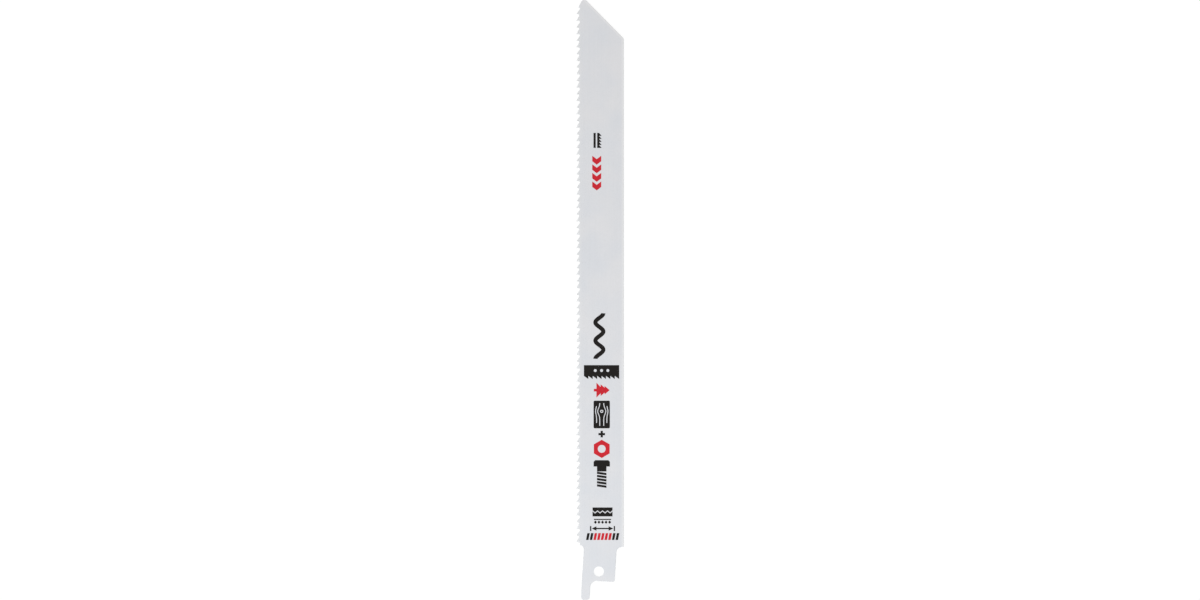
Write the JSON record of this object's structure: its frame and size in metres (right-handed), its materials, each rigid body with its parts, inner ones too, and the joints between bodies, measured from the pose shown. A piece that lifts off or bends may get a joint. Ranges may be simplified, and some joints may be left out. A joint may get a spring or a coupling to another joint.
{
  "type": "reciprocating saw blade",
  "caption": "Flexible flat reciprocating saw blade with alternately set teeth, a sloped nose and a canted tang with a lug and a locating hole.",
  "frame": {"origin": "centre of the tang hole, halfway through the steel", "axes": "+Y along the blade from the tang to the nose, +Z out of the printed face, teeth on -X and back edge on +X"},
  "size_m": [0.018, 0.2279, 0.0012],
  "materials": {
    "painted_steel": "satin",
    "black_print": "matte",
    "red_print": "matte"
  },
  "bodies": {
    "root": {"blade": "painted_steel"}
  },
  "joints": []
}
